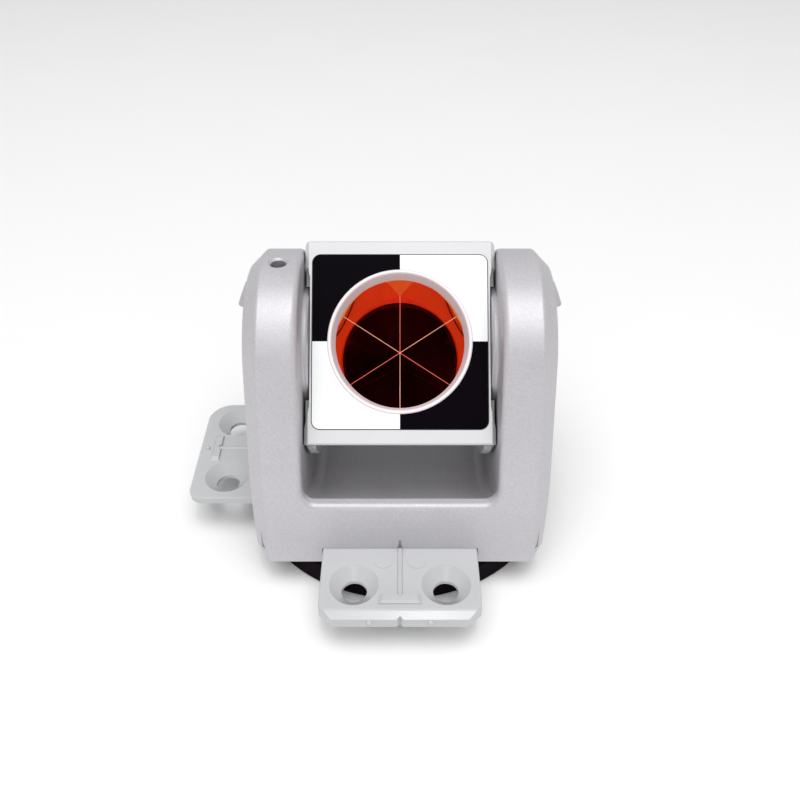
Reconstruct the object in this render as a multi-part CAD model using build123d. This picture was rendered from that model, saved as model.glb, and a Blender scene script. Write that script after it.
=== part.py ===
from build123d import *
import os
from math import atan2, asin, cos, degrees, radians, sin, sqrt

# Survey prism in a tilting yoke. Millimetres, +Z up, front towards -Y.
# The origin is the centre of the base disc's underside, on the axis the yoke pans about.

# ---- Driving dimensions -----------------------------------------------------------------
HAIR = 0.02                 # radial gap of a push fit, so that no two solids share volume
RUN = 0.03                  # radial gap of a running fit
TAP_RUNOUT = 0.3            # free depth of a tapped hole past the end of its screw
PAST = 1.0                  # how far a cutter goes past the surface it opens

# Round base
BASE_R = 47.5
BASE_HEIGHT = 9.0
BASE_EDGE_R = 1.0
JACKET_FLOOR = 1.2          # rubber skin under the magnet
CUP_R = 43.5
CUP_ROOF_Z = 7.8            # top of the cup outside its raised centre
CUP_CENTRE_R = 36.5         # raised centre of the cup, bare steel inside the rubber lip
CUP_INSIDE_Z = 5.2
MAGNET_OUTER_R = 40.5
MAGNET_INNER_R = 14.0

# Pan bearing, between the base and the yoke
PAN_GAP = 0.3               # washer thickness, the height of the yoke above the base
PAN_WASHER_R = 18.0
HUB_FLANGE_R = 19.0
HUB_FLANGE_THICKNESS = 2.0
HUB_SPIGOT_R = 8.0
HUB_SPIGOT_END_Z = 4.2
HUB_SCREW_X = 6.0
HUB_SCREW_Y = 14.0
HUB_SCREW_R = 1.25
HUB_SCREW_HEAD_R = 2.6
HUB_SCREW_DEPTH = 2.9       # above the hub's flange
HUB_SCREW_LENGTH = HUB_FLANGE_THICKNESS + HUB_SCREW_DEPTH - TAP_RUNOUT
SPRING_THICKNESS = 0.8
RETAINER_R = 11.5
RETAINER_THICKNESS = 1.4
PAN_SCREW_R = 2.5
PAN_SCREW_HEAD_R = PAN_SCREW_R + RETAINER_THICKNESS
PAN_SCREW_LENGTH = 5.5      # depth of its tapped hole in the hub
DRIVER_SLOT_WIDTH = 0.7

# Yoke housing
UNDERSIDE_Z = BASE_HEIGHT + PAN_GAP
BODY_WIDTH = 82.2
SIDE_DRAFT = 0.3            # how far each side wall leans in between the draft line and the bottom
DRAFT_LINE_Z = 38.0
WINDOW_WIDTH = 53.0         # clear width between the cheeks
FOOT_TOP_Z = UNDERSIDE_Z + 6.0
AXIS_Z = FOOT_TOP_Z + 40.0  # height of the tilt axis
ARCH_R = 28.25              # round top of the cheeks, about the tilt axis
FRONT_Y = 41.6              # half depth of the housing at its underside
SILL_Y = 40.0               # half depth at the window sill
SILL_Z = FOOT_TOP_Z + 15.4
FACE_BLEND_R = 60.0
EDGE_BEVEL = 4.1            # 45 degree bevel round the outside of each cheek
BEVEL_ROUNDING_R = 0.9
CORNER_CUT = 4.2            # cut of the two bottom edges along the sides
CORNER_CUT_ROUNDING_R = 1.6
BOTTOM_BEVEL = 0.8          # of the front and back faces' bottom edges
SCOOP_R = 45.8
SCOOP_Z = AXIS_Z + 3.2      # centre of the hollow the cage swings through
SCOOP_END_R = 3.0
WINDOW_CORNER_R = 3.8
RIM_R = 1.8                 # rounding of the window's rim
RECESS_WIDTH = 1.5          # shallow strips low on the bevels
RECESS_DEPTH = 0.6
RECESS_HEIGHT = 6.6
INDEX_NOTCH_HEIGHT = 4.0
INDEX_NOTCH_INSET = 0.15
INDEX_NOTCH_Z = FOOT_TOP_Z + 1.2

# Tilt bearing, the same in both cheeks; lengths are distances from the middle of the yoke
BOSS_R = 18.0
BOSS_FACE_X = 25.0
BOSS_ROOT = 0.6             # width of the hollow round its root
BOSS_BEVEL = 0.5
BUSH_R = 5.5
BUSH_FLANGE_X = 34.9
BUSH_FLANGE_END_X = 36.1
COUNTERBORE_R = 8.0
AXLE_R = 4.0
AXLE_HEAD_R = 6.3
AXLE_HEAD_X = 36.95
AXLE_HEAD_END_X = 38.2
AXLE_SLOT_DEPTH = 0.7
AXLE_SLOT_WIDTH = 1.2
AXLE_THREAD_R = 3.0
AXLE_THREAD_END_X = 20.9
TILT_WASHER_X = 36.15
PLUG_SKIRT_R = 6.9
PLUG_CAP_X = 38.6
PLUG_BEVEL = 0.4
LOCK_X = -32.6              # set screw over the left axle
LOCK_HOLE_R = 2.1
LOCK_HOLE_RIM = 0.65        # 45 degree bevel at the hole's mouth
LOCK_SCREW_R = 2.05
LOCK_SCREW_LENGTH = 21.8
LOCK_SCREW_BEVEL = 0.4
LOCK_TIP_GAP = 0.08         # between its tip and the axle while it is loose
LOCK_SOCKET_R = 1.45
LOCK_SOCKET_DEPTH = 2.5

# Snap lugs on the outer sides
LUG_TOP_Z = AXIS_Z + 21.0
LUG_EDGE_Z = AXIS_Z + 16.2
LUG_FOOT_Z = AXIS_Z + 14.9
LUG_PROUD = 3.4
LUG_SHOULDER = 1.3          # where the ramp starts, outside the wall
LUG_WIDTH = 5.0
LUG_ROUNDING_R = 0.9

# Feet
FOOT_THICKNESS = 4.3
FOOT_UNDERSIDE_Z = FOOT_TOP_Z - FOOT_THICKNESS
FOOT_WIDTH = 43.5
FOOT_REACH = 64.0           # outer edge, from the pan axis
FOOT_HOLE_REACH = 53.5
FOOT_HOLE_SPACING = 25.0
FOOT_HOLE_R = 3.5
FOOT_SINK_R = 6.7           # 90 degree countersink
FRONT_TONGUE_REACH = 22.0   # inner end of each tongue, from the pan axis
SIDE_TONGUE_REACH = 29.0
FOOT_SLOT_GAP = 0.25
FOOT_SCREW_R = 1.65
FOOT_SCREW_HEAD_R = 3.2
FOOT_SCREW_LENGTH = 10.5
FOOT_SCREW_SPACING = 24.0
FRONT_FOOT_SCREW_REACH = FRONT_TONGUE_REACH + 8.0
SIDE_FOOT_SCREW_REACH = SIDE_TONGUE_REACH + 5.0
RIB_R = 0.85                # rib down the middle of each foot
BAR_REACH = 58.6            # raised bar across the end of the rib
BAR_LENGTH = 11.8
BAR_WIDTH = 2.6
RIB_SINK = 0.25             # its centre line lies this far under the foot's top
BAR_HEIGHT = 1.0
BAR_END_SLOPE = 1.3
BAR_BEVEL = 0.6
MARK_HEIGHT = 0.12
MARK_R = 2.7                # round ejector marks
MARK_X = 4.7
MARK_REACH = 45.4
LIP_BEVEL_DEPTH = 2.4       # bevel along the front foot's outer edge
LIP_BEVEL_DROP = 1.1
FRONT_CORNER_CUT = 3.6
PIP_R = 0.8                 # two small pips on the front foot's outer face
PIP_X = 8.1
PIP_Z = FOOT_TOP_Z - 2.2
SIDE_FOOT_NEAR_R = 4.0      # rounded outer corners of the side foot
SIDE_FOOT_FAR_R = 7.5
SIDE_FOOT_UNDERCUT = 2.0    # bevel round its underside
FOOT_EDGE_BEVEL = 0.3       # round the top of each foot
BUMP_REACH = 61.6           # one small bump outside its bar
V_GROOVE_SIDE = 1.3         # square cutter, set on its corner, of the small V grooves

# Cage, drawn facing -Y about the tilt axis and then raised to its rest elevation
REST_ELEVATION = 44.0
FLANGE_WIDTH = 52.4
FLANGE_TOP = 28.0
FLANGE_BOTTOM = -28.3
FLANGE_FRONT_Y = -12.8
FLANGE_BACK_Y = -7.8
FLANGE_SIDE_BEVEL = 1.1
FLANGE_LEVEL_BEVEL = 0.4
FLANGE_TOP_CORNER_R = 1.6
FLANGE_WAIST_WIDTH = 49.5   # where the flange passes the bosses
FLANGE_WAIST_REACH = 17.8   # above and below the tilt axis
FLANGE_FULL_REACH = 24.0    # where it has its full width again
CELL_R = 23.0
CELL_END_Y = 16.5
SIDE_PLATE_X = 23.2
SIDE_PLATE_END_X = 26.1
SIDE_PLATE_R = 30.5
SIDE_PLATE_TOP = 22.0
SIDE_PLATE_BEVEL = 0.9
SIDE_PLATE_LAP = 1.5        # how far it reaches into the flange
HUB_R = 12.0                # solid hub between the cell and the side plate
HUB_START_X = 20.5
HUB_FACE_X = 24.85
HUB_MOAT_X = 23.8           # bottom of the ring groove round each hub
HUB_MOAT_R = 18.4

# Target plate and sight ring
PLATE_SIZE = 48.0
PLATE_CORNER_R = 2.2
PLATE_FRONT_Y = -13.0
PLATE_THICKNESS = 2.0
PLATE_GAP = 0.25
FIELD_THICKNESS = 0.2
RING_R = 19.9
RING_FRONT_Y = -13.3
RING_MOUTH_R = 18.9
RING_THROAT_R = 18.0
RING_BEVEL = 0.3

# Corner cube
GLASS_R = 19.05
GLASS_HEIGHT = 30.0
GLASS_FRONT_Y = -8.0
GLASS_EDGE_CHAMFER = 0.3
CUBE_EDGE_CHAMFER = 0.12    # narrow ground edges between the three back faces
CELL_BORE_R = 19.25
GASKET_THICKNESS = 0.3
GASKET_SETBACK = 0.2        # behind the ring's throat, out of sight
COATING_THICKNESS = 0.2
CUSHION_START_Y = 9.5
CUSHION_INNER_R = 14.5
CUSHION_GAP = 0.1           # round the coated faces, along the sight line
RETAINER_START_Y = 14.0
RETAINER_INNER_R = 13.0
RETAINER_SLOT_WIDTH = 2.0
RETAINER_SLOT_DEPTH = 1.0

# Back cover
COVER_RIM_END_Y = 19.0
COVER_DOME_R = 17.6
COVER_END_Y = 24.5
COVER_WALL = 1.6
COVER_CLEARANCE = 0.3       # beside the side plates
COVER_DOME_ROUNDING_R = 2.5
COVER_SCREW_RADIUS = 20.4   # of the circle the four screws sit on
COVER_SCREW_R = 1.0
COVER_SCREW_DEPTH = 4.5
COVER_SCREW_HEAD_R = 1.9
COVER_SCREW_HEAD_HEIGHT = 1.3
COVER_SOCKET_R = 0.85
COVER_SOCKET_DEPTH = 0.8

PLATE_BACK_Y = PLATE_FRONT_Y + PLATE_THICKNESS
GLASS_APEX_Y = GLASS_FRONT_Y + GLASS_HEIGHT


# ---- Small helpers ----------------------------------------------------------------------
def cylinder_x(radius, x_start, x_end, y=0.0, z=0.0):
    length = abs(x_end - x_start)
    return Pos((x_start + x_end) / 2, y, z) * Rot(0, 90, 0) * Cylinder(radius, length)


def cylinder_y(radius, y_start, y_end, x=0.0, z=0.0):
    length = abs(y_end - y_start)
    return Pos(x, (y_start + y_end) / 2, z) * Rot(90, 0, 0) * Cylinder(radius, length)


def cylinder_z(radius, z_start, z_end, x=0.0, y=0.0):
    length = abs(z_end - z_start)
    return Pos(x, y, (z_start + z_end) / 2) * Cylinder(radius, length)


def cone_z(radius_low, radius_high, z_low, z_high, x=0.0, y=0.0):
    return Pos(x, y, (z_low + z_high) / 2) * Cone(radius_low, radius_high, z_high - z_low)


def block(x_range, y_range, z_range):
    lows, highs = zip(x_range, y_range, z_range)
    centre = [(low + high) / 2 for low, high in zip(lows, highs)]
    return Pos(*centre) * Box(*(high - low for low, high in zip(lows, highs)))


def turned_y(points):
    """A solid of revolution about Y from (radius, y) points."""
    outline = make_face(Polyline(*points, close=True))
    return revolve(outline, Axis.Y)


def v_groove(length, x, y, z):
    """A cutter for an upright V groove: a square bar set on its corner."""
    return Pos(x, y, z) * Rot(0, 0, 45) * Box(V_GROOVE_SIDE, V_GROOVE_SIDE, length)


def in_cage(shape):
    """Moves a shape drawn facing -Y about the tilt axis to the cage's rest pose."""
    return Pos(0, 0, AXIS_Z) * Rot(-REST_ELEVATION, 0, 0) * shape


# ---- Round base -------------------------------------------------------------------------
def base_jacket():
    solid = cylinder_z(BASE_R, 0, BASE_HEIGHT)
    solid = fillet(solid.edges().filter_by(GeomType.CIRCLE), BASE_EDGE_R)
    cavity = cylinder_z(CUP_R, JACKET_FLOOR, CUP_ROOF_Z)
    cavity += cylinder_z(CUP_CENTRE_R, CUP_ROOF_Z, BASE_HEIGHT)
    return solid - cavity


def magnet_cup():
    cup = cylinder_z(CUP_R, JACKET_FLOOR, CUP_ROOF_Z)
    cup += cylinder_z(CUP_CENTRE_R, CUP_ROOF_Z, BASE_HEIGHT)
    cup -= cylinder_z(MAGNET_OUTER_R, JACKET_FLOOR, CUP_INSIDE_Z)
    cup -= cylinder_z(HUB_SPIGOT_R + RUN, CUP_INSIDE_Z, BASE_HEIGHT)
    return cup


def ring_magnet():
    ring = cylinder_z(MAGNET_OUTER_R - HAIR, JACKET_FLOOR, CUP_INSIDE_Z)
    return ring - cylinder_z(MAGNET_INNER_R, JACKET_FLOOR, CUP_INSIDE_Z)


def pan_friction_washer():
    top = BASE_HEIGHT + PAN_GAP - RUN
    washer = cylinder_z(PAN_WASHER_R, BASE_HEIGHT, top)
    return washer - cylinder_z(HUB_SPIGOT_R + 2 * RUN, BASE_HEIGHT, top)


# ---- Pan bearing, on the yoke's side ----------------------------------------------------
def hub_screw_places():
    return [(x, y) for x in (-HUB_SCREW_X, HUB_SCREW_X) for y in (-HUB_SCREW_Y, HUB_SCREW_Y)]


def countersunk_screw(head_r, shank_r, length):
    """Head face at z = 0, pointing up, with a cross of two driver slots."""
    head_height = head_r - shank_r
    screw = cone_z(head_r, shank_r, 0, head_height)
    screw += cylinder_z(shank_r, head_height, length)
    slot_reach = 0.6 * head_r
    slot_half = DRIVER_SLOT_WIDTH / 2
    slot = block((-slot_reach, slot_reach), (-slot_half, slot_half), (0, 0.7 * head_height))
    return screw - slot - Rot(0, 0, 90) * slot


def countersunk_hole(head_r, shank_r, length):
    """The hole for countersunk_screw, a hair larger all round."""
    head_height = head_r - shank_r
    hole = cone_z(head_r + HAIR, shank_r + HAIR, 0, head_height)
    return hole + cylinder_z(shank_r + HAIR, 0, length)


def pan_hub():
    hub = cylinder_z(HUB_FLANGE_R, UNDERSIDE_Z, UNDERSIDE_Z + HUB_FLANGE_THICKNESS)
    hub += cylinder_z(HUB_SPIGOT_R, HUB_SPIGOT_END_Z, UNDERSIDE_Z)
    hub -= cylinder_z(PAN_SCREW_R + HAIR, HUB_SPIGOT_END_Z, HUB_SPIGOT_END_Z + PAN_SCREW_LENGTH)
    for x, y in hub_screw_places():
        hole = countersunk_hole(HUB_SCREW_HEAD_R, HUB_SCREW_R, HUB_SCREW_LENGTH)
        hub -= Pos(x, y, UNDERSIDE_Z) * hole
    return hub


def pan_hub_screws():
    screw = countersunk_screw(HUB_SCREW_HEAD_R, HUB_SCREW_R, HUB_SCREW_LENGTH)
    return Compound([Pos(x, y, UNDERSIDE_Z) * screw for x, y in hub_screw_places()])


def pan_spring_washer():
    low = CUP_INSIDE_Z - RUN - SPRING_THICKNESS
    washer = cylinder_z(RETAINER_R, low, low + SPRING_THICKNESS)
    return washer - cylinder_z(HUB_SPIGOT_R + HAIR, low, low + SPRING_THICKNESS)


def pan_retainer():
    low = HUB_SPIGOT_END_Z - RETAINER_THICKNESS
    plate = cylinder_z(RETAINER_R, low, HUB_SPIGOT_END_Z)
    sink = countersunk_hole(PAN_SCREW_HEAD_R, PAN_SCREW_R, RETAINER_THICKNESS)
    return plate - Pos(0, 0, low) * sink


def pan_screw():
    low = HUB_SPIGOT_END_Z - RETAINER_THICKNESS
    length = PAN_SCREW_LENGTH + RETAINER_THICKNESS - TAP_RUNOUT
    return Pos(0, 0, low) * countersunk_screw(PAN_SCREW_HEAD_R, PAN_SCREW_R, length)


# ---- Yoke housing -----------------------------------------------------------------------
def cheek_tangent_point():
    """Where the straight cheek face that starts at the sill meets the round top."""
    reach = sqrt(SILL_Y ** 2 + (AXIS_Z - SILL_Z) ** 2)
    to_axis = atan2(AXIS_Z - SILL_Z, SILL_Y)
    heading = to_axis + asin(ARCH_R / reach)
    run_length = sqrt(reach ** 2 - ARCH_R ** 2)
    return -SILL_Y + run_length * cos(heading), SILL_Z + run_length * sin(heading)


def side_outline():
    """The housing's outline seen from the side, as a face in Y and Z."""
    tangent_y, tangent_z = cheek_tangent_point()
    front = [(-FRONT_Y, UNDERSIDE_Z), (-SILL_Y, SILL_Z), (tangent_y, tangent_z)]
    back = [(-y, z) for y, z in reversed(front)]
    outline = make_face(Polyline(*front, *back, close=True))
    sills = [v for v in outline.vertices() if abs(v.Y - SILL_Z) < 0.01]
    outline = fillet(sills, FACE_BLEND_R)
    return Plane.YZ * (outline + Pos(0, AXIS_Z) * Circle(ARCH_R))


def front_outline():
    """The housing's outline seen from the front: leaning sides and cut bottom corners."""
    half = BODY_WIDTH / 2
    low_half = half - SIDE_DRAFT
    top = AXIS_Z + ARCH_R + PAST
    right = [(low_half - CORNER_CUT, UNDERSIDE_Z), (low_half, UNDERSIDE_Z + CORNER_CUT),
             (half, DRAFT_LINE_Z), (half, top)]
    left = [(-x, z) for x, z in reversed(right)]
    outline = make_face(Polyline(*right, *left, close=True))
    corners = [v for v in outline.vertices() if v.Y < UNDERSIDE_Z + CORNER_CUT + 0.01]
    return Plane.XZ * fillet(corners, CORNER_CUT_ROUNDING_R)


def window_space():
    """The opening between the cheeks with the round scoop below it."""
    half = WINDOW_WIDTH / 2
    scoop = cylinder_x(SCOOP_R, -half, half, 0, SCOOP_Z)
    scoop = fillet(scoop.edges().filter_by(GeomType.CIRCLE), SCOOP_END_R)
    opening = block((-half, half), (-FOOT_REACH, FOOT_REACH), (SILL_Z, AXIS_Z + 2 * ARCH_R))
    corners = opening.edges().filter_by(Axis.Y).group_by(Axis.Z)[0]
    return scoop + fillet(corners, WINDOW_CORNER_R)


def on_surface(point, faces):
    return min(face.distance_to(Vertex(*point)) for face in faces) < 0.001


def window_rim(housing, envelope):
    """The edges where the window breaks through the housing's curved outside."""
    skin = [face for face in envelope.faces() if abs(face.center().X) < 1]
    rim = []
    for edge in housing.edges():
        points = [edge.position_at(t) for t in (0.1, 0.5, 0.9)]
        inside = all(abs(point.X) < WINDOW_WIDTH / 2 + 0.01 for point in points)
        high = all(point.Z > SILL_Z - 0.01 for point in points)
        if inside and high and all(on_surface(point, skin) for point in points):
            rim.append(edge)
    return rim


def bearing_bore(side):
    """The stepped hole through one cheek; side is -1 for left and 1 for right."""
    bore = cylinder_x(BUSH_R, side * (BOSS_FACE_X - PAST), side * (BUSH_FLANGE_X + PAST), 0, AXIS_Z)
    outside = side * (BODY_WIDTH / 2 + PAST)
    return bore + cylinder_x(COUNTERBORE_R, side * BUSH_FLANGE_X, outside, 0, AXIS_Z)


def snap_lug(side):
    """A small wedge outside a cheek: a ramp that grows downwards to a blunt edge."""
    wall = side * BODY_WIDTH / 2
    root = wall - side
    shoulder = wall + side * LUG_SHOULDER
    tip = wall + side * LUG_PROUD
    outline = make_face(Polyline(
        (root, LUG_TOP_Z), (shoulder, LUG_TOP_Z), (tip, LUG_EDGE_Z), (wall, LUG_FOOT_Z),
        (root, LUG_FOOT_Z), close=True))
    lug = extrude(Plane.XZ * outline, amount=LUG_WIDTH / 2, both=True)
    corners = [e for e in lug.edges().filter_by(Axis.Y) if abs(e.center().X) > BODY_WIDTH / 2 + 0.01]
    return fillet(corners, LUG_ROUNDING_R)


def pivot_boss(side):
    """A low round boss with a hollow fillet at its root on the inside of a cheek."""
    wall = WINDOW_WIDTH / 2
    proud = wall - BOSS_FACE_X
    outline = make_face(Polyline(
        (0, -PAST), (BOSS_R + BOSS_ROOT, -PAST), (BOSS_R + BOSS_ROOT, 0),
        (BOSS_R + BOSS_ROOT / 3, BOSS_ROOT / 3), (BOSS_R, BOSS_ROOT),
        (BOSS_R, proud - BOSS_BEVEL), (BOSS_R - BOSS_BEVEL, proud), (0, proud), close=True))
    boss = revolve(Plane.XZ * outline, Axis.Z)
    return Pos(side * wall, 0, AXIS_Z) * Rot(0, -side * 90, 0) * boss


def foot_slots():
    half = FOOT_WIDTH / 2 + FOOT_SLOT_GAP
    z_range = (UNDERSIDE_Z - PAST, FOOT_TOP_Z)
    front = block((-half, half), (-FOOT_REACH, -FRONT_TONGUE_REACH + FOOT_SLOT_GAP), z_range)
    side = block((-FOOT_REACH, -SIDE_TONGUE_REACH + FOOT_SLOT_GAP), (-half, half), z_range)
    return front + side


def front_foot_screw_places():
    return [(x, -FRONT_FOOT_SCREW_REACH) for x in (-FOOT_SCREW_SPACING / 2, FOOT_SCREW_SPACING / 2)]


def side_foot_screw_places():
    return [(-SIDE_FOOT_SCREW_REACH, y) for y in (-FOOT_SCREW_SPACING / 2, FOOT_SCREW_SPACING / 2)]


def lock_hole():
    """The tapped hole from the top of the left cheek down to the axle."""
    top = AXIS_Z + ARCH_R
    hole = cylinder_z(LOCK_HOLE_R, AXIS_Z, top + PAST, LOCK_X)
    mouth_r = LOCK_HOLE_R + 2 * LOCK_HOLE_RIM
    return hole + cone_z(LOCK_HOLE_R, mouth_r, top - LOCK_HOLE_RIM, top + LOCK_HOLE_RIM, LOCK_X)


def index_notch():
    """The small upright groove in the middle of the front, over the foot's rib."""
    return v_groove(INDEX_NOTCH_HEIGHT, 0, -FRONT_Y + INDEX_NOTCH_INSET, INDEX_NOTCH_Z)


def corner_recesses():
    """Shallow strips low on the side bevels, next to the front and back faces."""
    bevel_x = BODY_WIDTH / 2 - EDGE_BEVEL / 2
    bevel_y = FRONT_Y - EDGE_BEVEL / 2
    low = UNDERSIDE_Z + CORNER_CUT
    strip = Box(RECESS_WIDTH, 2 * RECESS_DEPTH, RECESS_HEIGHT)
    cuts = []
    for side in (-1, 1):
        for end in (-1, 1):
            place = Pos(side * bevel_x, end * bevel_y, low + RECESS_HEIGHT / 2)
            cuts.append(place * Rot(0, 0, -45 * side * end) * strip)
    return cuts


def bevel_inner_edges(housing):
    """The loops where each cheek's side bevel meets the round top and the front and back faces."""
    inner_x = BODY_WIDTH / 2 - EDGE_BEVEL
    loops = [e for e in housing.edges() if abs(abs(e.center().X) - inner_x) < 0.01]
    return [e for e in loops if e.center().Z > UNDERSIDE_Z + 0.01]


def yoke_housing():
    envelope = extrude(side_outline(), amount=BODY_WIDTH / 2, both=True)
    ends = [e for e in envelope.edges() if abs(abs(e.center().X) - BODY_WIDTH / 2) < 0.01]
    ends = [e for e in ends if e.center().Z > UNDERSIDE_Z + 0.01]
    housing = chamfer(ends, EDGE_BEVEL)
    housing = fillet(bevel_inner_edges(housing), BEVEL_ROUNDING_R)
    bottom_edges = housing.edges().filter_by(Axis.X).group_by(Axis.Z)[0]
    housing = chamfer(bottom_edges, BOTTOM_BEVEL)
    housing = housing & extrude(front_outline(), amount=FOOT_REACH, both=True)
    housing -= window_space()
    housing = fillet(window_rim(housing, envelope), RIM_R)
    for side in (-1, 1):
        housing += pivot_boss(side)
        housing += snap_lug(side)
        housing -= bearing_bore(side)
    housing -= foot_slots()
    housing -= lock_hole()
    housing -= index_notch()
    housing -= cylinder_z(HUB_FLANGE_R + HAIR, UNDERSIDE_Z - PAST, UNDERSIDE_Z + HUB_FLANGE_THICKNESS)
    for cut in corner_recesses():
        housing -= cut
    for x, y in hub_screw_places():
        top = UNDERSIDE_Z + HUB_FLANGE_THICKNESS + HUB_SCREW_DEPTH
        housing -= cylinder_z(HUB_SCREW_R + HAIR, UNDERSIDE_Z, top, x, y)
    for x, y in front_foot_screw_places() + side_foot_screw_places():
        top = FOOT_UNDERSIDE_Z + FOOT_SCREW_LENGTH + TAP_RUNOUT
        housing -= cylinder_z(FOOT_SCREW_R + HAIR, UNDERSIDE_Z, top, x, y)
    return housing


# ---- Tilt bearing -----------------------------------------------------------------------
def on_tilt_axis(radius, side, start, end):
    """A cylinder about the tilt axis between two distances from the middle of the yoke."""
    return cylinder_x(radius, side * start, side * end, 0, AXIS_Z)


def bush(side):
    sleeve = on_tilt_axis(BUSH_R - HAIR, side, BOSS_FACE_X, BUSH_FLANGE_X)
    sleeve += on_tilt_axis(COUNTERBORE_R - HAIR, side, BUSH_FLANGE_X, BUSH_FLANGE_END_X)
    return sleeve - on_tilt_axis(AXLE_R + RUN, side, BOSS_FACE_X, BUSH_FLANGE_END_X)


def bush_left():
    return bush(-1) - cylinder_z(LOCK_HOLE_R, AXIS_Z, AXIS_Z + BUSH_R + PAST, LOCK_X)


def plug(side):
    """A push-in cap whose skirt holds the bush's flange and clears the axle's head."""
    cap = on_tilt_axis(COUNTERBORE_R - HAIR, side, BUSH_FLANGE_END_X, BODY_WIDTH / 2)
    cap -= on_tilt_axis(PLUG_SKIRT_R, side, BUSH_FLANGE_END_X, PLUG_CAP_X)
    outer = cap.edges().filter_by(GeomType.CIRCLE).sort_by(Axis.X)
    return chamfer(outer[-1 if side > 0 else 0], PLUG_BEVEL)


def axle(side):
    """A shoulder screw: slotted head outside, shoulder in the bush, thread in the cage."""
    screw = on_tilt_axis(AXLE_HEAD_R, side, AXLE_HEAD_X, AXLE_HEAD_END_X)
    screw += on_tilt_axis(AXLE_R, side, HUB_FACE_X, AXLE_HEAD_X)
    screw += on_tilt_axis(AXLE_THREAD_R, side, AXLE_THREAD_END_X, HUB_FACE_X)
    slot_x = sorted((side * (AXLE_HEAD_END_X - AXLE_SLOT_DEPTH), side * AXLE_HEAD_END_X))
    half = AXLE_SLOT_WIDTH / 2
    return screw - block(slot_x, (-AXLE_HEAD_R, AXLE_HEAD_R), (AXIS_Z - half, AXIS_Z + half))


def tilt_washers():
    rings = []
    for side in (-1, 1):
        ring = on_tilt_axis(AXLE_HEAD_R, side, TILT_WASHER_X, AXLE_HEAD_X)
        rings.append(ring - on_tilt_axis(AXLE_R + HAIR, side, TILT_WASHER_X, AXLE_HEAD_X))
    return Compound(rings)


def tilt_lock_screw():
    tip = AXIS_Z + AXLE_R + LOCK_TIP_GAP
    top = tip + LOCK_SCREW_LENGTH
    screw = cylinder_z(LOCK_SCREW_R, tip, top, LOCK_X)
    ends = screw.edges().filter_by(GeomType.CIRCLE)
    screw = chamfer(ends, LOCK_SCREW_BEVEL)
    hexagon = Pos(LOCK_X, 0, top) * RegularPolygon(LOCK_SOCKET_R, 6)
    return screw - extrude(hexagon, amount=-LOCK_SOCKET_DEPTH)


# ---- Feet, drawn towards -Y --------------------------------------------------------------
def foot_blank(tongue_reach):
    half = FOOT_WIDTH / 2
    return block((-half, half), (-FOOT_REACH, -tongue_reach), (FOOT_UNDERSIDE_Z, FOOT_TOP_Z))


def foot_holes():
    low = FOOT_TOP_Z - (FOOT_SINK_R - FOOT_HOLE_R)
    holes = []
    for x in (-FOOT_HOLE_SPACING / 2, FOOT_HOLE_SPACING / 2):
        hole = cylinder_z(FOOT_HOLE_R, FOOT_UNDERSIDE_Z - PAST, FOOT_TOP_Z + PAST, x, -FOOT_HOLE_REACH)
        hole += cone_z(FOOT_HOLE_R, FOOT_SINK_R + PAST, low, FOOT_TOP_Z + PAST, x, -FOOT_HOLE_REACH)
        holes.append(hole)
    return holes


def foot_rib():
    """A half-round rib from the bar back to the housing's front face."""
    return cylinder_y(RIB_R, -BAR_REACH, -(FRONT_Y + 2 * HAIR), 0, FOOT_TOP_Z - RIB_SINK)


def foot_bar():
    """A low raised bar with sloping ends and a small V in its inner edge."""
    half = BAR_LENGTH / 2
    top_half = half - BAR_END_SLOPE
    outline = make_face(Polyline(
        (-half, -RIB_SINK), (-half, 0), (-top_half, BAR_HEIGHT), (top_half, BAR_HEIGHT),
        (half, 0), (half, -RIB_SINK), close=True))
    bar = extrude(Plane.XZ * outline, amount=BAR_WIDTH / 2, both=True)
    outer_edge = bar.edges().filter_by(Axis.X).group_by(Axis.Z)[-1].sort_by(Axis.Y)[0]
    bar = Pos(0, -BAR_REACH, FOOT_TOP_Z) * chamfer(outer_edge, BAR_BEVEL)
    return bar - v_groove(BAR_HEIGHT, 0, -BAR_REACH + BAR_WIDTH / 2, FOOT_TOP_Z + BAR_HEIGHT)


def ejector_marks():
    low, high = FOOT_TOP_Z - MARK_HEIGHT, FOOT_TOP_Z + MARK_HEIGHT
    return [cylinder_z(MARK_R, low, high, x, -MARK_REACH) for x in (-MARK_X, MARK_X)]


def outside_edges(face, tongue_reach):
    """A foot face's edges, without the one at the inner end of the tongue."""
    return [e for e in face.edges() if e.center().Y < -tongue_reach - 0.01]


def with_screw_holes(foot, places):
    for x, y in places:
        hole = countersunk_hole(FOOT_SCREW_HEAD_R, FOOT_SCREW_R, FOOT_THICKNESS + PAST)
        foot -= Pos(x, y, FOOT_UNDERSIDE_Z) * hole
    return foot


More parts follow.
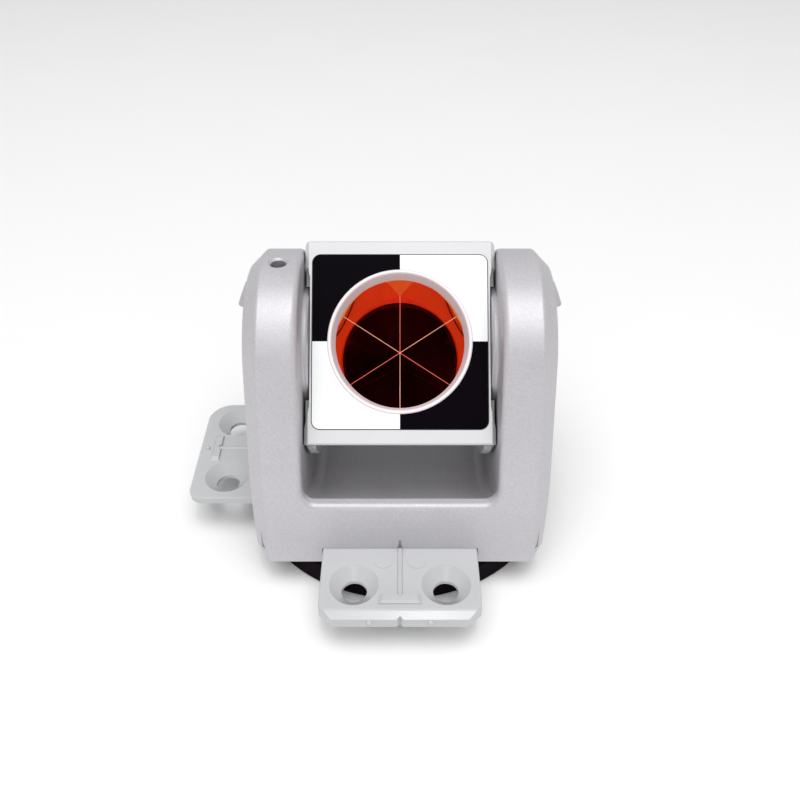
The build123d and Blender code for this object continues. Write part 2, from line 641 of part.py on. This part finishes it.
def front_foot():
    foot = foot_blank(FRONT_TONGUE_REACH)
    front_corners = foot.edges().filter_by(Axis.Z).group_by(Axis.Y)[0]
    foot = chamfer(front_corners, FRONT_CORNER_CUT)
    lip_edge = foot.edges().filter_by(Axis.X).group_by(Axis.Y)[0].sort_by(Axis.Z)[-1]
    top_face = foot.faces().sort_by(Axis.Z)[-1]
    foot = chamfer(lip_edge, length=LIP_BEVEL_DEPTH, length2=LIP_BEVEL_DROP, reference=top_face)
    foot = chamfer(outside_edges(foot.faces().sort_by(Axis.Z)[-1], FRONT_TONGUE_REACH), FOOT_EDGE_BEVEL)
    for mark in ejector_marks():
        foot += mark
    foot += foot_rib() + foot_bar()
    foot -= v_groove(2 * FOOT_THICKNESS, 0, -FOOT_REACH, FOOT_TOP_Z - FOOT_THICKNESS / 2)
    for x in (-PIP_X, PIP_X):
        foot += Pos(x, -FOOT_REACH, PIP_Z) * Sphere(PIP_R)
    for hole in foot_holes():
        foot -= hole
    return with_screw_holes(foot, front_foot_screw_places())


def side_foot():
    foot = foot_blank(SIDE_TONGUE_REACH)
    outer = foot.edges().filter_by(Axis.Z).group_by(Axis.Y)[0].sort_by(Axis.X)
    foot = fillet(outer[0], SIDE_FOOT_FAR_R)
    outer = foot.edges().filter_by(Axis.Z).group_by(Axis.Y)[0].sort_by(Axis.X)
    foot = fillet(outer[-1], SIDE_FOOT_NEAR_R)
    foot = chamfer(outside_edges(foot.faces().sort_by(Axis.Z)[0], SIDE_TONGUE_REACH), SIDE_FOOT_UNDERCUT)
    foot = chamfer(outside_edges(foot.faces().sort_by(Axis.Z)[-1], SIDE_TONGUE_REACH), FOOT_EDGE_BEVEL)
    foot += foot_rib() + foot_bar()
    foot += Pos(0, -BUMP_REACH, FOOT_TOP_Z) * Sphere(PIP_R)
    for hole in foot_holes():
        foot -= hole
    return with_screw_holes(Rot(0, 0, -90) * foot, side_foot_screw_places())


def foot_screws():
    screw = countersunk_screw(FOOT_SCREW_HEAD_R, FOOT_SCREW_R, FOOT_SCREW_LENGTH)
    places = front_foot_screw_places() + side_foot_screw_places()
    return Compound([Pos(x, y, FOOT_UNDERSIDE_Z) * screw for x, y in places])


# ---- Cage, drawn facing -Y about the tilt axis -------------------------------------------
def waist_cut(side):
    """The cutter that draws in one long side of the flange, with sloping ends."""
    waist, full = side * FLANGE_WAIST_WIDTH / 2, side * FLANGE_WIDTH / 2
    outline = make_face(Polyline(
        (waist, -FLANGE_WAIST_REACH), (waist, FLANGE_WAIST_REACH), (full, FLANGE_FULL_REACH),
        (full + side, FLANGE_FULL_REACH), (full + side, -FLANGE_FULL_REACH),
        (full, -FLANGE_FULL_REACH), close=True))
    return extrude(Plane.XZ * outline, amount=CELL_R, both=True)


def flange():
    half = FLANGE_WIDTH / 2
    plate = block((-half, half), (FLANGE_FRONT_Y, FLANGE_BACK_Y), (FLANGE_BOTTOM, FLANGE_TOP))
    front = plate.faces().sort_by(Axis.Y)[0].edges()
    plate = chamfer(front.filter_by(Axis.Z), FLANGE_SIDE_BEVEL)
    level = plate.faces().sort_by(Axis.Y)[0].edges().filter_by(Axis.X)
    plate = chamfer(level, FLANGE_LEVEL_BEVEL)
    corners = plate.edges().filter_by(Axis.Y).group_by(Axis.Z)
    plate = fillet(corners[-1], FLANGE_TOP_CORNER_R)
    for side in (-1, 1):
        plate -= waist_cut(side)
    return plate


def side_plate(side):
    """A plate beside the cell, round below, with a hub for the tilt axle."""
    start, end = side * SIDE_PLATE_X, side * SIDE_PLATE_END_X
    reach = SIDE_PLATE_R + PAST
    y_range = (FLANGE_BACK_Y - SIDE_PLATE_LAP, reach)
    keep = block(sorted((start, end)), y_range, (-reach, SIDE_PLATE_TOP))
    plate = cylinder_x(SIDE_PLATE_R, start, end) & keep
    outer = [e for e in plate.edges() if abs(e.center().X - end) < 0.01]
    rim = [e for e in outer if e.center().Y > FLANGE_BACK_Y]
    plate = chamfer(rim, SIDE_PLATE_BEVEL)
    plate += cylinder_x(HUB_R, side * HUB_START_X, start)
    moat = cylinder_x(HUB_MOAT_R, side * HUB_MOAT_X, end)
    plate -= moat - cylinder_x(BOSS_R, side * HUB_MOAT_X, end)
    return plate - cylinder_x(BOSS_R, side * HUB_FACE_X, end)


def cover_screw_places():
    angles = [radians(45 + 90 * quarter) for quarter in range(4)]
    return [(COVER_SCREW_RADIUS * cos(a), COVER_SCREW_RADIUS * sin(a)) for a in angles]


def plate_outline(size):
    corner = PLATE_CORNER_R + (size - PLATE_SIZE) / 2
    return Plane.XZ * RectangleRounded(size, size, corner)


def plate_block(size, y_front, y_back):
    """A rounded square plate between two distances along the sight line."""
    return Pos(0, y_front, 0) * extrude(plate_outline(size), amount=-(y_back - y_front))


def cage_frame():
    frame = flange() + cylinder_y(CELL_R, FLANGE_BACK_Y, CELL_END_Y)
    for side in (-1, 1):
        frame += side_plate(side)
    frame -= cylinder_y(CELL_R + COVER_CLEARANCE, CELL_END_Y, SIDE_PLATE_R)
    frame -= plate_block(PLATE_SIZE + 2 * PLATE_GAP, FLANGE_FRONT_Y - PAST, PLATE_BACK_Y)
    frame -= cylinder_y(RING_R + HAIR, PLATE_BACK_Y - PAST, GLASS_FRONT_Y)
    frame -= cylinder_y(CELL_BORE_R, GLASS_FRONT_Y - PAST, CELL_END_Y + PAST)
    for side in (-1, 1):
        thread = (side * (AXLE_THREAD_END_X - TAP_RUNOUT), side * (HUB_FACE_X + PAST))
        frame -= cylinder_x(AXLE_THREAD_R + HAIR, *thread)
    for x, z in cover_screw_places():
        tap_end_y = CELL_END_Y - COVER_SCREW_DEPTH - TAP_RUNOUT
        frame -= cylinder_y(COVER_SCREW_R + HAIR, tap_end_y, CELL_END_Y + PAST, x, z)
    return frame


def field_pair(y_front, y_back):
    """The two opposite quadrants of the plate outside the sight ring: upper left, lower right."""
    plate = plate_block(PLATE_SIZE, y_front, y_back)
    plate -= cylinder_y(RING_R + 2 * HAIR, y_front - PAST, y_back + PAST)
    half = PLATE_SIZE / 2
    upper_left = block((-half, 0), (y_front, y_back), (0, half))
    lower_right = block((0, half), (y_front, y_back), (-half, 0))
    return [plate & upper_left, plate & lower_right]


def target_plate():
    plate = plate_block(PLATE_SIZE, PLATE_FRONT_Y, PLATE_BACK_Y)
    plate -= cylinder_y(RING_R + 2 * HAIR, PLATE_FRONT_Y - PAST, PLATE_BACK_Y + PAST)
    for field in field_pair(PLATE_FRONT_Y, PLATE_FRONT_Y + FIELD_THICKNESS):
        plate -= field
    return plate


def target_fields():
    return Compound(field_pair(PLATE_FRONT_Y, PLATE_FRONT_Y + FIELD_THICKNESS))


def sight_ring():
    """A ring screwed in from the front; its throat narrows onto the glass."""
    back = GLASS_FRONT_Y - GASKET_THICKNESS
    return turned_y([
        (RING_MOUTH_R, RING_FRONT_Y + RING_BEVEL), (RING_MOUTH_R + RING_BEVEL, RING_FRONT_Y),
        (RING_R - RING_BEVEL, RING_FRONT_Y), (RING_R, RING_FRONT_Y + RING_BEVEL),
        (RING_R, back), (RING_THROAT_R, back)])


def front_gasket():
    back = GLASS_FRONT_Y
    front = back - GASKET_THICKNESS
    return cylinder_y(RING_R, front, back) - cylinder_y(RING_THROAT_R + GASKET_SETBACK, front, back)


def cube_corner(apex_y):
    """A large cube with one corner at apex_y and its long diagonal along the sight line."""
    edge = 4 * GLASS_HEIGHT
    corner = Pos(-edge / 2, -edge / 2, -edge / 2) * Box(edge, edge, edge)
    lean = degrees(atan2(sqrt(2), 1))
    upright = Rot(lean, 0, 0) * Rot(0, 0, 45) * corner
    return Pos(0, apex_y, 0) * Rot(-90, 0, 0) * upright


def corner_cube(apex_y):
    return cylinder_y(GLASS_R, GLASS_FRONT_Y, apex_y) & cube_corner(apex_y)


def prism_glass():
    glass = corner_cube(GLASS_APEX_Y)
    glass = chamfer(glass.edges().filter_by(GeomType.LINE), CUBE_EDGE_CHAMFER)
    front = glass.faces().sort_by(Axis.Y)[0].edges()
    return chamfer(front, GLASS_EDGE_CHAMFER)


def prism_coating():
    coated = corner_cube(GLASS_APEX_Y + COATING_THICKNESS * sqrt(3))
    return coated - corner_cube(GLASS_APEX_Y)


def prism_cushion():
    ring = cylinder_y(CELL_BORE_R - HAIR, CUSHION_START_Y, RETAINER_START_Y)
    ring -= cylinder_y(CUSHION_INNER_R, CUSHION_START_Y, RETAINER_START_Y)
    return ring - corner_cube(GLASS_APEX_Y + COATING_THICKNESS * sqrt(3) + CUSHION_GAP)


def prism_retainer():
    ring = cylinder_y(CELL_BORE_R - HAIR, RETAINER_START_Y, CELL_END_Y)
    ring -= cylinder_y(RETAINER_INNER_R, RETAINER_START_Y, CELL_END_Y)
    half = RETAINER_SLOT_WIDTH / 2
    slot_y = (CELL_END_Y - RETAINER_SLOT_DEPTH, CELL_END_Y)
    slot = block((-CELL_BORE_R, CELL_BORE_R), slot_y, (-half, half))
    return ring - slot - Rot(0, 90, 0) * slot


def back_cover():
    cover = cylinder_y(CELL_R, CELL_END_Y, COVER_RIM_END_Y)
    dome = cylinder_y(COVER_DOME_R, COVER_RIM_END_Y - PAST, COVER_END_Y)
    top = dome.edges().filter_by(GeomType.CIRCLE).sort_by(Axis.Y)[-1]
    cover += fillet(top, COVER_DOME_ROUNDING_R)
    cover -= cylinder_y(COVER_DOME_R - COVER_WALL, CELL_END_Y, COVER_END_Y - COVER_WALL)
    for x, z in cover_screw_places():
        cover -= cylinder_y(COVER_SCREW_R + HAIR, CELL_END_Y, COVER_RIM_END_Y, x, z)
    return cover


def back_cover_screw():
    """A round-headed socket screw on the Y axis, its head towards +Y."""
    head_end_y = COVER_RIM_END_Y + COVER_SCREW_HEAD_HEIGHT
    head = cylinder_y(COVER_SCREW_HEAD_R, COVER_RIM_END_Y, head_end_y)
    head = fillet(head.edges().sort_by(Axis.Y)[-1], COVER_SCREW_HEAD_HEIGHT / 2)
    shank = cylinder_y(COVER_SCREW_R, CELL_END_Y - COVER_SCREW_DEPTH, COVER_RIM_END_Y)
    hexagon = Pos(0, head_end_y, 0) * (Plane.XZ * RegularPolygon(COVER_SOCKET_R, 6))
    return head + shank - extrude(hexagon, amount=COVER_SOCKET_DEPTH)


def back_cover_screws():
    return Compound([Pos(x, 0, z) * back_cover_screw() for x, z in cover_screw_places()])


# ---- The whole object --------------------------------------------------------------------
def all_parts():
    parts = {
        "base_jacket": base_jacket(),
        "magnet_cup": magnet_cup(),
        "ring_magnet": ring_magnet(),
        "pan_friction_washer": pan_friction_washer(),
        "pan_hub": pan_hub(),
        "pan_hub_screws": pan_hub_screws(),
        "pan_spring_washer": pan_spring_washer(),
        "pan_retainer": pan_retainer(),
        "pan_screw": pan_screw(),
        "yoke_housing": yoke_housing(),
        "front_foot": front_foot(),
        "side_foot": side_foot(),
        "foot_screws": foot_screws(),
        "bush_left": bush_left(),
        "bush_right": bush(1),
        "plug_left": plug(-1),
        "plug_right": plug(1),
        "tilt_lock_screw": tilt_lock_screw(),
    }
    tilting = {
        "cage_frame": cage_frame(),
        "target_plate": target_plate(),
        "target_fields": target_fields(),
        "sight_ring": sight_ring(),
        "front_gasket": front_gasket(),
        "prism_glass": prism_glass(),
        "prism_coating": prism_coating(),
        "prism_cushion": prism_cushion(),
        "prism_retainer": prism_retainer(),
        "back_cover": back_cover(),
        "back_cover_screws": back_cover_screws(),
    }
    for name, shape in tilting.items():
        parts[name] = in_cage(shape)
    parts["axle_left"] = axle(-1)
    parts["axle_right"] = axle(1)
    parts["tilt_washers"] = tilt_washers()
    return parts


os.makedirs("parts", exist_ok=True)
for name, shape in all_parts().items():
    export_step(shape, f"parts/{name}.step")
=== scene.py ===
import math

import bpy
from mathutils import Matrix, Vector


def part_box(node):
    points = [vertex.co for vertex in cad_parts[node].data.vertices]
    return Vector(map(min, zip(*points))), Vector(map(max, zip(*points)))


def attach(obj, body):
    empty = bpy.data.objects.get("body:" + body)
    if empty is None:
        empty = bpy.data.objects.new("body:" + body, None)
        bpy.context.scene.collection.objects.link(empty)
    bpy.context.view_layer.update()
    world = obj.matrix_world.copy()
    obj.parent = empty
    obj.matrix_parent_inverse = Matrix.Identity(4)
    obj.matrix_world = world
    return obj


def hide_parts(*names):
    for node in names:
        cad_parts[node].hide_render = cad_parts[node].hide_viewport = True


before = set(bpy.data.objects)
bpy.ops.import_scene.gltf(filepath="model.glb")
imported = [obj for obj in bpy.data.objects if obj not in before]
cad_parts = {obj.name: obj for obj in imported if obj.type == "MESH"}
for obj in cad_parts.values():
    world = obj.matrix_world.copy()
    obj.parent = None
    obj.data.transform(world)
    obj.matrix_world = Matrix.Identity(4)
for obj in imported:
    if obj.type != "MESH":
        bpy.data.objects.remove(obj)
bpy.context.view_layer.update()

MM = 0.001
GLASS_IOR = 1.52
# Painted shade: ambient occlusion darkens the base colour of paint and plastic in narrow gaps.
CREVICE_REACH = 5 * MM      # how far around a point its openness is judged
CREVICE_SHUT = 0.05         # the openness at which a gap is at its darkest
CREVICE_OPEN = 0.6          # the openness from which a surface isn't darkened
CLOUD_LIGHT = (0.985, 1.015)    # the faint clouds in paint and plastic

# How far a surface of the prism faces the viewer, as a cosine: the front face and its chamfer lie
# above the first limit, then the round side, the coated faces and the narrow ground edges.
PRISM_SURFACE_LIMITS = (0.3, -0.3, -0.7)
PRISM_SURFACES = ("optical_glass", "ground_side", "copper_coat", "ground_edge")
PRISM_SHRINK = 0.9985       # keeps the mirrors a hair inside the coat they stand for

CAMERA_PLACE = (0.0, -189.2 * MM, 194.2 * MM)
CAMERA_DOWNWARDS = 39.98    # degrees that the camera looks down from the level
CAMERA_LENS = 36.4          # focal length in millimetres, on a sensor 36 mm wide
CAMERA_FRONT_R = 170 * MM
CAMERA_FRONT_GAP = 4 * MM   # the dark front is this far behind the lens

FLOOR_SIZE = 6.0
FLOOR_Z = -0.02 * MM
WORLD_STRENGTH = 0.42


# ---- Building node materials -----------------------------------------------------------------
class Finish:
    """One procedural material: a Principled shader and the nodes that feed it."""

    def __init__(self, name, colour, roughness, metallic=0.0):
        self.material = bpy.data.materials.new(name)
        self.material.use_nodes = True
        self.tree = self.material.node_tree
        self.shader = self.tree.nodes["Principled BSDF"]
        self.place = self.tree.nodes.new("ShaderNodeTexCoord").outputs["Object"]
        self.colour = colour
        self.set("Base Color", (*colour, 1.0))
        self.set("Roughness", roughness)
        self.set("Metallic", metallic)

    def set(self, socket, value):
        self.feed(self.shader.inputs[socket], value)

    def feed(self, socket, value):
        """Links value to socket if it is another node's output, or else sets it."""
        if isinstance(value, bpy.types.NodeSocket):
            self.tree.links.new(value, socket)
        else:
            socket.default_value = value

    def node(self, kind, settings=None, **inputs):
        """A new node; settings are its properties and inputs its sockets, spaces as underscores."""
        made = self.tree.nodes.new("ShaderNode" + kind)
        for name, value in (settings or {}).items():
            setattr(made, name, value)
        for name, value in inputs.items():
            self.feed(made.inputs[name.replace("_", " ")], value)
        return made

    def noise(self, size, detail=3.0, stretch=None):
        """Cloudy noise whose blobs are about size metres across, 0 to 1."""
        place = self.place
        if stretch:
            place = self.node("Mapping", Vector=place, Scale=stretch).outputs[0]
        made = self.node("TexNoise", Vector=place, Scale=1 / size, Detail=detail)
        return made.outputs[0]

    def cells(self, size):
        """A random value from 0 to 1 for each cell about size metres across."""
        made = self.node("TexVoronoi", Vector=self.place, Scale=1 / size)
        split = self.node("SeparateColor", Color=made.outputs["Color"])
        return split.outputs[0]

    def span(self, value, low, high, start=0.3, end=0.7):
        """value from start to end, mapped to low to high."""
        made = self.node(
            "MapRange", Value=value, From_Min=start, From_Max=end, To_Min=low, To_Max=high)
        return made.outputs[0]

    def painted_crevice_shade(self, darkest):
        """Painted shade: 1 on open surfaces, falling to darkest in narrow gaps, where ambient
        occlusion darkens the base colour.
        """
        made = self.node("AmbientOcclusion", Distance=CREVICE_REACH)
        return self.span(made.outputs["AO"], darkest, 1.0, CREVICE_SHUT, CREVICE_OPEN)

    def times(self, first, second):
        """The product of two values."""
        made = self.node("Math", {"operation": "MULTIPLY"})
        self.feed(made.inputs[0], first)
        self.feed(made.inputs[1], second)
        return made.outputs[0]

    def shade(self, factor):
        """Darkens or lightens the base colour by factor, which is near 1."""
        made = self.node("VectorMath", {"operation": "SCALE"}, Scale=factor)
        made.inputs[0].default_value = self.colour
        self.set("Base Color", made.outputs[0])

    def bump(self, height, distance, strength=1.0, under=None):
        """Relief with the given height pattern, distance metres deep."""
        made = self.node("Bump", Height=height, Distance=distance, Strength=strength)
        if under:
            self.feed(made.inputs["Normal"], under)
        self.set("Normal", made.outputs[0])
        return made.outputs[0]


def srgb(red, green, blue):
    """A linear colour from screen values of 0 to 255."""
    def linear(value):
        share = value / 255
        return share / 12.92 if share <= 0.04045 else ((share + 0.055) / 1.055) ** 2.4
    return linear(red), linear(green), linear(blue)


# ---- The kinds of material -------------------------------------------------------------------
def flake_paint(name, colour, roughness, flake_size, sparkle):
    """Silver paint: fine flakes of slightly different brightness under a smooth skin."""
    finish = Finish(name, colour, roughness, metallic=0.25)
    flakes = finish.cells(flake_size)
    cloud = finish.noise(9 * MM)
    flake_light = finish.span(flakes, 1 - sparkle, 1 + sparkle, 0, 1)
    brightness = finish.times(flake_light, finish.span(cloud, *CLOUD_LIGHT))
    # Painted shade: the flake brightness is darkened in narrow gaps.
    finish.shade(finish.times(brightness, finish.painted_crevice_shade(0.25)))
    finish.set("Roughness", finish.span(cloud, roughness - 0.03, roughness + 0.04))
    skin = finish.bump(finish.noise(0.9 * MM, 2.0), 0.006 * MM, 0.5)
    finish.bump(flakes, 0.004 * MM, 0.4, skin)
    return finish.material


def moulded_plastic(name, colour, roughness, shine=0.5):
    """Moulded plastic with a fine spark-eroded grain and faint flow clouds."""
    finish = Finish(name, colour, roughness)
    finish.set("Specular IOR Level", shine)
    cloud = finish.noise(11 * MM, 2.0)
    # Painted shade: the base colour is darkened in narrow gaps.
    finish.shade(finish.times(finish.span(cloud, *CLOUD_LIGHT), finish.painted_crevice_shade(0.4)))
    finish.set("Roughness", finish.span(cloud, roughness - 0.02, roughness + 0.03))
    finish.bump(finish.noise(0.35 * MM, 4.0), 0.008 * MM, 0.6)
    return finish.material


def turned_metal(name, colour, roughness):
    """Machined metal with fine tool lines across one direction."""
    finish = Finish(name, colour, roughness, metallic=1.0)
    lines = finish.noise(0.6 * MM, stretch=(1.0, 1.0, 12.0))
    finish.shade(finish.span(lines, 0.88, 1.08))
    finish.set("Roughness", finish.span(lines, roughness - 0.08, roughness + 0.1))
    finish.bump(lines, 0.006 * MM, 0.5)
    return finish.material


def rubber(name, colour, roughness):
    """Rubber with a matt pebbled skin and a trace of dust."""
    finish = Finish(name, colour, roughness)
    finish.set("Specular IOR Level", 0.03)
    dust = finish.noise(4 * MM, 5.0)
    finish.shade(finish.span(dust, 0.8, 1.6))
    finish.set("Roughness", finish.span(dust, roughness - 0.06, roughness + 0.08))
    finish.bump(finish.cells(0.4 * MM), 0.015 * MM, 0.5)
    return finish.material


def optical_glass(name):
    """Clear polished glass."""
    finish = Finish(name, (1.0, 1.0, 1.0), 0.0)
    finish.set("Transmission Weight", 1.0)
    finish.set("IOR", GLASS_IOR)
    return finish.material


def copper_mirror(name, colour):
    """The copper coat as seen through the glass it is laid on."""
    finish = Finish(name, colour, 0.0, metallic=1.0)
    film = finish.noise(5 * MM, 2.0)
    finish.shade(finish.span(film, 0.97, 1.03))
    return finish.material


def ground_glass(name, colour, roughness, painted_glow):
    """Ground glass under orange lacquer with the even grain of the grinding, and a painted glow:
    emission standing in for the light that falls on it.
    """
    finish = Finish(name, colour, roughness)
    # Painted glow: emission in the lacquer's colour.
    finish.set("Emission Color", (*colour, 1.0))
    finish.set("Emission Strength", painted_glow)
    grain = finish.noise(0.15 * MM)
    finish.shade(finish.span(grain, 0.93, 1.07))
    finish.set("Roughness", finish.span(grain, roughness - 0.05, roughness + 0.05))
    return finish.material


FINISHES = {
    "housing_paint": flake_paint("housing_paint", srgb(192, 190, 194), 0.43, 0.28 * MM, 0.07),
    "foot_plastic": moulded_plastic("foot_plastic", srgb(190, 191, 193), 0.2),
    "cage_paint": moulded_plastic("cage_paint", srgb(206, 206, 208), 0.36),
    "plate_white": moulded_plastic("plate_white", srgb(233, 235, 234), 0.4),
    "field_black": moulded_plastic("field_black", srgb(6, 2, 8), 0.5, shine=0.03),
    "ring_white": moulded_plastic("ring_white", srgb(236, 227, 230), 0.45),
    "optical_glass": optical_glass("optical_glass"),
    "copper_coat": copper_mirror("copper_coat", (0.92, 0.37, 0.34)),
    # Painted glow: the prism's ground side and edges emit light in their own colour.
    "ground_side": ground_glass("ground_side", (0.62, 0.22, 0.04), 0.5, 0.68),
    "ground_edge": ground_glass("ground_edge", (1.0, 0.58, 0.38), 0.5, 0.55),
    "jacket_rubber": rubber("jacket_rubber", srgb(12, 4, 10), 0.6),
    "seal_rubber": rubber("seal_rubber", srgb(30, 28, 30), 0.6),
    "cup_steel": turned_metal("cup_steel", srgb(190, 190, 192), 0.35),
    "screw_steel": turned_metal("screw_steel", srgb(200, 200, 203), 0.28),
    "magnet_ferrite": moulded_plastic("magnet_ferrite", srgb(58, 56, 58), 0.6),
    "bearing_brass": turned_metal("bearing_brass", srgb(214, 176, 104), 0.3),
    "washer_plastic": moulded_plastic("washer_plastic", srgb(225, 222, 210), 0.4),
    "retainer_black": moulded_plastic("retainer_black", srgb(28, 28, 30), 0.45),
    "cap_plastic": moulded_plastic("cap_plastic", srgb(196, 197, 200), 0.35),
}


def paint_nodes():
    """Gives each CAD node the finish of its material slot."""
    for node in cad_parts.values():
        for place in node.material_slots:
            place.material = FINISHES[place.material.name]


# ---- The prism -------------------------------------------------------------------------------
def sight_line():
    """The direction the glass looks: that of its front face, its largest flat area."""
    areas = {}
    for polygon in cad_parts["prism_glass"].data.polygons:
        facing = polygon.normal.to_tuple(3)
        areas[facing] = areas.get(facing, 0.0) + polygon.area
    return Vector(max(areas, key=areas.get)).normalized()


def shrink(mesh, centre):
    """Scales a mesh about a point by PRISM_SHRINK."""
    middle = Matrix.Translation(centre)
    mesh.transform(middle @ Matrix.Scale(PRISM_SHRINK, 4) @ middle.inverted())


def prism_optics():
    """The glass as a mesh whose coated faces mirror like copper from the inside."""
    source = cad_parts["prism_glass"]
    mesh = source.data.copy()
    prism = bpy.data.objects.new("prism_optics", mesh)
    bpy.context.scene.collection.objects.link(prism)
    mesh.materials.clear()
    for name in PRISM_SURFACES:
        mesh.materials.append(FINISHES[name])
    mesh.normals_split_custom_set([(0.0, 0.0, 0.0)] * len(mesh.loops))
    low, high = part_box("prism_glass")
    shrink(mesh, source.matrix_world.inverted() @ ((low + high) / 2))
    outward = sight_line()
    for polygon in mesh.polygons:
        facing = polygon.normal.dot(outward)
        polygon.material_index = sum(facing < limit for limit in PRISM_SURFACE_LIMITS)
        polygon.use_smooth = PRISM_SURFACES[polygon.material_index] == "ground_side"
    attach(prism, "cage")
    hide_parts("prism_glass")


# ---- Stage, light and camera -----------------------------------------------------------------
def floor():
    bpy.ops.mesh.primitive_plane_add(size=FLOOR_SIZE, location=(0, 0, FLOOR_Z))
    plane = bpy.context.object
    plane.name = "floor"
    finish = Finish("floor_paper", (0.9, 0.9, 0.9), 0.7)
    finish.shade(finish.span(finish.noise(60 * MM), 0.995, 1.005))
    plane.data.materials.append(finish.material)


def softbox(name, width, height, watts, place, target):
    """A rectangular light of the given size at place, turned towards target."""
    light = bpy.data.lights.new(name, "AREA")
    light.shape = "RECTANGLE"
    light.size = width
    light.size_y = height
    light.energy = watts
    lamp = bpy.data.objects.new(name, light)
    lamp.location = place
    lamp.rotation_euler = (Vector(target) - Vector(place)).to_track_quat("-Z", "Y").to_euler()
    bpy.context.scene.collection.objects.link(lamp)


def studio_lights():
    """Soft light from above and in front, with two small lights for the highlights."""
    softbox("top_box", 1.5, 1.3, watts=21.0, place=(0.0, -0.45, 1.6), target=(0, 0, 0.05))
    softbox("front_box", 2.0, 0.8, watts=2.2, place=(-0.3, -1.7, 0.45), target=(0, 0, 0.04))
    softbox("catch_light", 0.6, 0.14, watts=1.4, place=(0.0, -1.2, 0.92), target=(0, 0, 0.03))
    softbox("strip_light", 0.06, 0.35, watts=1.6, place=(0.05, -0.35, 1.2), target=(0, 0, 0.05))


def studio_world():
    world = bpy.data.worlds.new("studio")
    world.use_nodes = True
    background = world.node_tree.nodes["Background"]
    background.inputs["Color"].default_value = (1.0, 1.0, 1.0, 1.0)
    background.inputs["Strength"].default_value = WORLD_STRENGTH
    bpy.context.scene.world = world


def camera():
    """Above and in front of the object, looking down at the prism."""
    lens = bpy.data.cameras.new("camera")
    lens.lens = CAMERA_LENS
    lens.sensor_width = 36.0
    lens.clip_start = 0.01
    viewer = bpy.data.objects.new("camera", lens)
    viewer.location = CAMERA_PLACE
    viewer.rotation_euler = (math.radians(90 - CAMERA_DOWNWARDS), 0.0, 0.0)
    bpy.context.scene.collection.objects.link(viewer)
    bpy.context.scene.camera = viewer
    return viewer


def camera_front(viewer):
    """The dark front of the camera, which the prism sends straight back to the viewer."""
    bpy.ops.mesh.primitive_circle_add(vertices=64, radius=CAMERA_FRONT_R, fill_type="NGON")
    card = bpy.context.object
    card.name = "camera_front"
    card.parent = viewer
    card.location = (0, 0, CAMERA_FRONT_GAP)
    finish = Finish("camera_black", (0.009, 0.004, 0.003), 0.9)
    finish.set("Specular IOR Level", 0.0)
    finish.shade(finish.span(finish.noise(40 * MM), 0.05, 2.5))
    card.data.materials.append(finish.material)
    card.visible_camera = False
    card.visible_shadow = False
    card.visible_diffuse = False


def view_transform():
    settings = bpy.context.scene.view_settings
    settings.view_transform = "Standard"
    settings.look = "None"
    settings.exposure = 0.0


paint_nodes()
prism_optics()
floor()
studio_lights()
studio_world()
camera_front(camera())
view_transform()
